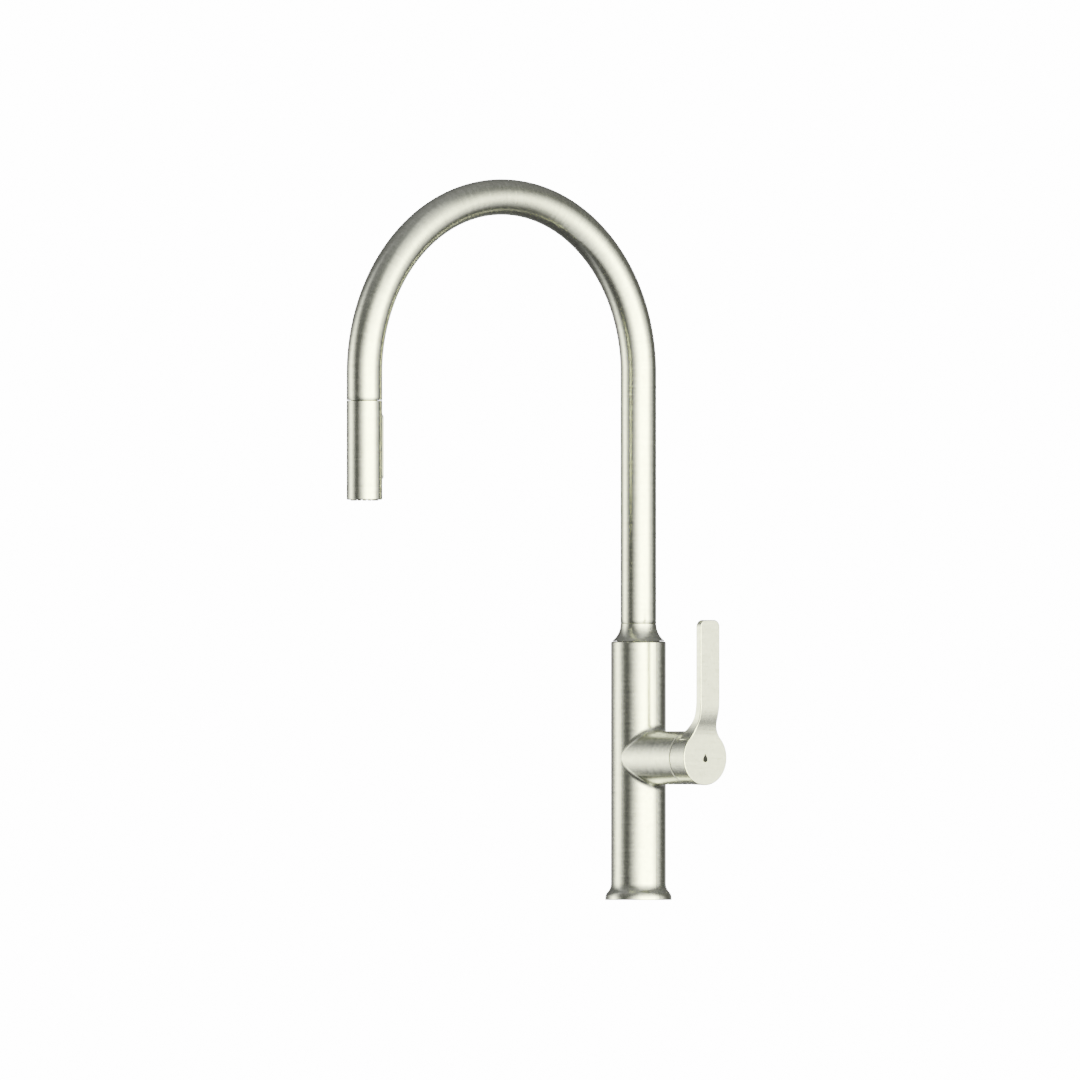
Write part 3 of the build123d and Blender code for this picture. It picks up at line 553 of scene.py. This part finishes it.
class FAUCET_OT_nozzles(bpy.types.Operator):
    """Set the soft nozzles on their circles in the spray face"""
    bl_idname = "faucet.nozzles"
    bl_label = "Nozzles"

    def execute(self, context):
        s = sizes()
        low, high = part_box("rubber_nozzles")
        # Moulded silicone: dark grey, soft and only faintly shiny.
        silicone = moulded("silicone_dark_grey", colours().silicone, 0.5, 0.55, 0.00003, ior=1.41)
        tall = high.z - low.z
        outline = [(NOZZLE_BORE, 0.0), (NOZZLE_TIP - NOZZLE_BREAK / 2, 0.0), (NOZZLE_TIP, NOZZLE_BREAK),
                   (NOZZLE_ROOT, tall - WEB_THICKNESS), (NOZZLE_ROOT, tall), (NOZZLE_BORE, tall)]
        master = bpy.data.objects.new("nozzle_master", turned_mesh("nozzle_master", outline, 20))
        bpy.context.scene.collection.objects.link(master)
        mesh = grown(nozzle_tree(), {
            "Nozzle": master, "Outer Count": s.outer_nozzles, "Inner Count": s.inner_nozzles,
            "Axis Y": HEAD_Y, "Height": low.z, "Finish": silicone})
        bpy.data.objects.remove(master)
        under = high.z - WEB_THICKNESS
        web = turned_mesh("nozzle_web", [(WEB_INNER, under), (WEB_OUTER, under), (WEB_OUTER, high.z),
                                         (WEB_INNER, high.z)], 64)
        web.transform(Matrix.Translation((0, HEAD_Y, 0)))
        bm = bmesh.new()
        bm.from_mesh(mesh)
        bm.from_mesh(web)
        bm.to_mesh(mesh)
        bm.free()
        finished("soft_nozzles", mesh, silicone, "spray_head", "grey_rubber", "rubber_nozzles")
        return {"FINISHED"}


# ---- hose -------------------------------------------------------------------------
HOSE_AROUND, HOSE_ROWS = 48, 120


class FAUCET_OT_hose(bpy.types.Operator):
    """Make the braided run of hose that draws out with the spray head"""
    bl_idname = "faucet.hose"
    bl_label = "Hose"

    def execute(self, context):
        radius = sizes().hose_radius
        low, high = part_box("hose_pull_run")
        bm = bmesh.new()
        uv = bm.loops.layers.uv.new("turn")
        angles = [2 * math.pi * i / HOSE_AROUND for i in range(HOSE_AROUND)]
        rings = []
        for row in range(HOSE_ROWS + 1):
            z = low.z + (high.z - low.z) * row / HOSE_ROWS
            rings.append([bm.verts.new((radius * math.cos(a), HEAD_Y + radius * math.sin(a), z))
                          for a in angles])
        for lower, upper in zip(rings, rings[1:]):
            for i in range(HOSE_AROUND):
                j = (i + 1) % HOSE_AROUND
                face = bm.faces.new((lower[i], lower[j], upper[j], upper[i]))
                for loop, turn in zip(face.loops, (i, i + 1, i + 1, i)):
                    loop[uv].uv = (turn / HOSE_AROUND, loop.vert.co.z)
        bm.faces.new(rings[0][::-1])
        bm.faces.new(rings[-1])
        mesh = bpy.data.meshes.new("braided_hose_run")
        bm.to_mesh(mesh)
        bm.free()
        hose = finished("braided_hose_run", mesh, nylon_braid(), None, "hose_braid", "hose_pull_run")
        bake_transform(hose)
        # The same braid where the faucet hides it, as a plain charcoal weave.
        sleeve = moulded("nylon_braid_plain", colours().braid, 0.6, 0.62, 0.0001)
        for node in ("hose_arch", "hose_lower"):
            dress(node, sleeve)
        return {"FINISHED"}


# ---- inside -------------------------------------------------------------------------
class FAUCET_OT_inner_works(bpy.types.Operator):
    """Finish the parts inside: cartridge, waterway, seals and fasteners"""
    bl_idname = "faucet.inner_works"
    bl_label = "Inner works"

    def execute(self, context):
        # Turned brass: yellow, with a bright gloss.
        brass = plain_metal("machined_brass", linear("C9A75C"), 0.22, 0.34, 1.4)
        # Turned stainless steel: a neutral, mirror-like grey.
        steel = plain_metal("stainless_turned", linear("B4B4B2"), 0.2, 0.32, 1.25)
        # Zinc as cast: a dull, bluish grey.
        zinc = plain_metal("cast_zinc", linear("8E9092"), 0.45, 0.6, 2.0)
        # Moulded nitrile rubber: black and nearly matt.
        rubber = moulded("nitrile_rubber_black", linear("232323"), 0.6, 0.67, 0.00004, ior=1.52)
        # Moulded acetal: milky white, waxy.
        acetal = moulded("acetal_white", linear("E6E4DC"), 0.4, 0.45, 0.00003)
        # The same acetal dyed mid grey.
        shell = moulded("acetal_grey", linear("6A6D70"), 0.42, 0.45, 0.00003)
        # Lapped alumina: ivory with a sharp gloss.
        alumina = moulded("alumina_ceramic", linear("EFECE2"), 0.15, 0.33, 0.00001, ior=1.76)
        finishes = {
            brass: ("waterway_core", "hose_connector", "hose_coupling", "cartridge_nut"),
            steel: ("pivot_pin", "stem", "handle_set_screw", "retaining_clip", "hose_ferrule", "rocker_pin"),
            zinc: ("base_insert",),
            rubber: ("base_gasket", "cartridge_seals", "friction_o_ring", "inlet_seal", "spool_o_rings",
                     "thrust_washer"),
            acetal: ("cartridge_base", "lever_guide", "disc_carrier", "glide_rings", "head_waterway",
                     "diverter_spool"),
            shell: ("cartridge_housing", "limit_ring"),
            alumina: ("fixed_ceramic_disc", "moving_ceramic_disc"),
        }
        for mat, nodes in finishes.items():
            for node in nodes:
                dress(node, mat)
        return {"FINISHED"}


# ---- stage ----------------------------------------------------------------------------
# Brightness round the horizon, by direction in degrees from the camera's side, right positive.
HORIZON = ((-180, 0.5), (-157, 0.45), (-140, 0.2), (-130, 0.4), (-121, 1.1), (-108, 4.0), (-99, 8.5),
           (-90, 5.6), (-81, 2.2), (-72, 0.7), (-64, 0.24), (-56, 0.08), (-50, 0.06), (-43, 0.1), (-36, 0.3),
           (-30, 0.66), (-23, 1.3), (-10, 4.1), (2, 11.5), (15, 21.0), (60, 21.0), (71, 8.0), (78, 2.8),
           (87, 2.1), (96, 1.0), (106, 0.34), (116, 0.07), (128, 0.04), (140, 0.2), (157, 0.55), (180, 0.5))
# How the brightness falls off above and below the horizon, as natural logarithms by elevation in degrees.
FALL = ((-90, -3.3), (-75, -3.1), (-55, -2.3), (-37, -1.35), (-19, -0.4), (0, 0.0), (15, -0.7), (32, -1.8),
        (50, -2.7), (70, -3.3), (90, -3.6))
DIM, BRIGHT = 0.03, 21.0
SPAN = math.log(BRIGHT / DIM)
# The least light that comes from the horizon and from straight above.
LEAST_AT_HORIZON, LEAST_OVERHEAD = 0.09, 0.30
PAPER_WHITE = 15.0
WHITE, CREAM = (1.0, 1.0, 1.0, 1), (1.0, 1.02, 0.52, 1)
LAMP_POWER, LAMP_SPREAD, LAMP_FROM = 11.0, 1.0, (0.35, -0.5, 1.6)
FLOOR_RADIUS, FLOOR_GAP = 12.0, 0.0004
# Where the camera stands and the point it is aimed at, off the body's axis and above the deck.
CAMERA_TURN = math.radians(51.2)
CAMERA_AWAY, VIEW_WIDTH = 3.0, 0.722
AIM_LEFT, AIM_HEIGHT = 0.0658, 0.2407


def studio_light(world):
    """Soft boxes round the faucet as a world shader; the camera itself sees plain white paper.

    Levels are kept as shares of the logarithmic span from DIM to BRIGHT.
    """
    world.use_nodes = True
    tree = world.node_tree
    tree.nodes.clear()
    look = add(tree, "ShaderNodeSeparateXYZ", {0: add(tree, "ShaderNodeTexCoord").outputs["Generated"]})
    x, y, z = look.outputs
    turn = 0.5 / math.pi
    bearing = add(tree, MATH, {0: y, 1: x}, operation="ARCTAN2")
    bearing = add(tree, MATH, {0: bearing, 1: turn, 2: 0.75 - turn * CAMERA_TURN}, operation="MULTIPLY_ADD")
    bearing = add(tree, MATH, {0: bearing}, operation="FRACT")
    boxes = add(tree, "ShaderNodeValToRGB", {0: bearing},
                stops=[((a + 180) / 360, math.log(v / DIM) / SPAN) for a, v in HORIZON])
    height = add(tree, MATH, {0: z}, operation="ARCSINE")
    height = add(tree, MATH, {0: height, 1: 2 * turn, 2: 0.5}, operation="MULTIPLY_ADD")
    fall = add(tree, "ShaderNodeValToRGB", {0: height}, stops=[((e + 90) / 180, v / 4 + 1) for e, v in FALL])
    fall = add(tree, MATH, {0: fall, 1: 4 / SPAN, 2: -4 / SPAN}, operation="MULTIPLY_ADD")
    level = add(tree, MATH, {0: boxes, 1: fall}, operation="ADD")
    low, high = (math.log(v / DIM) / SPAN for v in (LEAST_AT_HORIZON, LEAST_OVERHEAD))
    least = add(tree, "ShaderNodeMapRange", {"Value": z, "To Min": low, "To Max": high})
    level = add(tree, MATH, {0: level, 1: least}, operation="MAXIMUM")
    light = add(tree, MATH, {0: BRIGHT / DIM, 1: level}, operation="POWER")
    light = add(tree, MATH, {0: light, 1: DIM}, operation="MULTIPLY")
    glow = add(tree, "ShaderNodeMapRange", {"Value": level, "From Min": 0.4, "From Max": 1.0})
    warm = add(tree, "ShaderNodeMix", {"Factor": glow, 6: WHITE, 7: CREAM}, data_type="RGBA")
    seen = add(tree, "ShaderNodeLightPath").outputs["Is Camera Ray"]
    power = add(tree, "ShaderNodeMix", {"Factor": seen, "A": light, "B": PAPER_WHITE}, data_type="FLOAT")
    tint = add(tree, "ShaderNodeMix", {"Factor": seen, 6: warm.outputs[2], 7: WHITE}, data_type="RGBA")
    back = add(tree, "ShaderNodeBackground", {"Color": tint.outputs[2], "Strength": power})
    add(tree, "ShaderNodeOutputWorld", {"Surface": back})


def paper_floor(scene):
    """Pale floor just under the foot, too wide for its edge to show; reflections pass through it."""
    bm = bmesh.new()
    bmesh.ops.create_circle(bm, cap_ends=True, radius=FLOOR_RADIUS, segments=96)
    mesh = bpy.data.meshes.new("studio_floor")
    bm.to_mesh(mesh)
    bm.free()
    floor = bpy.data.objects.new("studio_floor", mesh)
    scene.collection.objects.link(floor)
    floor.location.z = -FLOOR_GAP
    # Uncoated paper: matt, with a slight mottle.
    mesh.materials.append(moulded("pale_paper", colours().floor, 0.9, 16.7, 0.0002))
    floor.visible_glossy = False


def overhead_light(scene):
    """Broad light from above that lifts the floor and the flat faces, and casts a soft shadow."""
    lamp = bpy.data.lights.new("overhead_light", "SUN")
    lamp.energy = LAMP_POWER
    lamp.angle = LAMP_SPREAD
    above = bpy.data.objects.new("overhead_light", lamp)
    scene.collection.objects.link(above)
    above.rotation_euler = Vector(LAMP_FROM).to_track_quat("Z", "Y").to_euler()
    above.visible_glossy = False


def level_camera(scene):
    """Level camera without perspective, turned CAMERA_TURN from the -Y side towards +X."""
    view = bpy.data.cameras.new("camera")
    view.type = "ORTHO"
    view.ortho_scale = VIEW_WIDTH
    view.clip_start, view.clip_end = 0.01, 40.0
    camera = bpy.data.objects.new("camera", view)
    scene.collection.objects.link(camera)
    back = Vector((math.sin(CAMERA_TURN), -math.cos(CAMERA_TURN), 0.0))
    right = Vector((math.cos(CAMERA_TURN), math.sin(CAMERA_TURN), 0.0))
    camera.location = back * CAMERA_AWAY - right * AIM_LEFT + Vector((0, 0, AIM_HEIGHT))
    camera.rotation_euler = back.to_track_quat("Z", "Y").to_euler()
    scene.camera = camera


class FAUCET_OT_stage(bpy.types.Operator):
    """Lay the pale floor, light the studio and set the camera"""
    bl_idname = "faucet.stage"
    bl_label = "Stage"

    def execute(self, context):
        paper_floor(context.scene)
        context.scene.world = bpy.data.worlds.new("studio")
        studio_light(context.scene.world)
        overhead_light(context.scene)
        level_camera(context.scene)
        return {"FINISHED"}


PARTS = (FAUCET_OT_stage, FAUCET_OT_body, FAUCET_OT_gooseneck, FAUCET_OT_lever, FAUCET_OT_spray_head,
         FAUCET_OT_nozzles, FAUCET_OT_hose, FAUCET_OT_inner_works)


class FAUCET_PT_panel(bpy.types.Panel):
    """Sizes, colours and one button for each part of the faucet"""
    bl_idname = "FAUCET_PT_panel"
    bl_label = "Kitchen faucet"
    bl_space_type = "VIEW_3D"
    bl_region_type = "UI"
    bl_category = "Faucet"

    def draw(self, context):
        for group in (context.scene.faucet_sizes, context.scene.faucet_colours):
            box = self.layout.box()
            for key in group.__annotations__:
                box.prop(group, key)
        for part in PARTS:
            self.layout.operator(part.bl_idname)


CLASSES = (FAUCET_PG_sizes, FAUCET_PG_colours, *PARTS, FAUCET_PT_panel)


def register():
    for cls in CLASSES:
        bpy.utils.register_class(cls)
    bpy.types.Scene.faucet_sizes = PointerProperty(type=FAUCET_PG_sizes)
    bpy.types.Scene.faucet_colours = PointerProperty(type=FAUCET_PG_colours)


def unregister():
    del bpy.types.Scene.faucet_colours
    del bpy.types.Scene.faucet_sizes
    for cls in reversed(CLASSES):
        bpy.utils.unregister_class(cls)


def main():
    register()
    for part in PARTS:
        getattr(bpy.ops.faucet, part.bl_idname.removeprefix("faucet."))()


if __name__ == "__main__":
    main()
